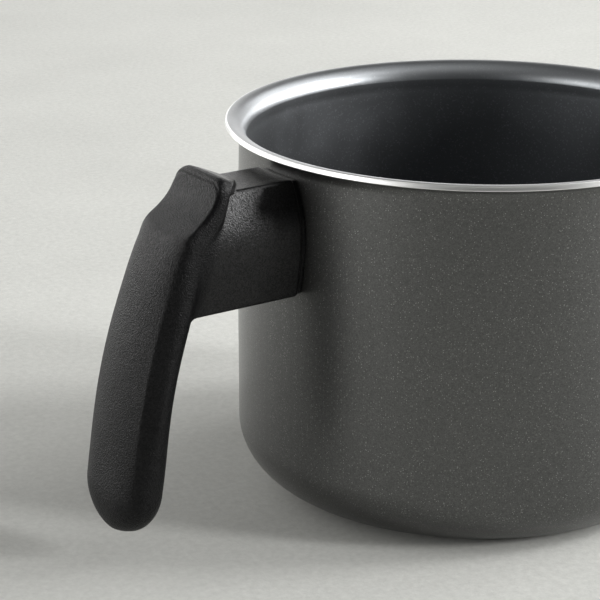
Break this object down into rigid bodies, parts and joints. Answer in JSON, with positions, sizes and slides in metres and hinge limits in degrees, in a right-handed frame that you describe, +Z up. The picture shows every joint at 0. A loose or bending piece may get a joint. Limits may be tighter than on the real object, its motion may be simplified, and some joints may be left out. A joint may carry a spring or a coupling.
{
  "type": "milk pan",
  "caption": "Straight-sided milk pan with a rolled-out lip and a down-curved mug-style moulded handle, for heating milk and sauces on a hob.",
  "frame": {"origin": "middle of the flat underside, on the pan's axis", "axes": "+Z up along the pan's axis, handle towards -X, +Y to the left of someone looking along +X"},
  "size_m": [0.2059, 0.15, 0.1103],
  "materials": {
    "pan_coating": "dark warm grey metallic non-stick coating on aluminium, bare at the cut edge of the lip and on the turned underside",
    "handle_moulding": "fine-grained matt black phenolic moulding",
    "bracket_steel": "zinc-plated stamping",
    "rivet_aluminium": "satin",
    "screw_steel": "zinc-plated, satin"
  },
  "bodies": {
    "root": {"pan_body": "pan_coating", "handle": "handle_moulding", "handle_bracket": "bracket_steel", "bracket_rivets": "rivet_aluminium", "handle_screw": "screw_steel", "lock_washer": "screw_steel"}
  },
  "joints": []
}
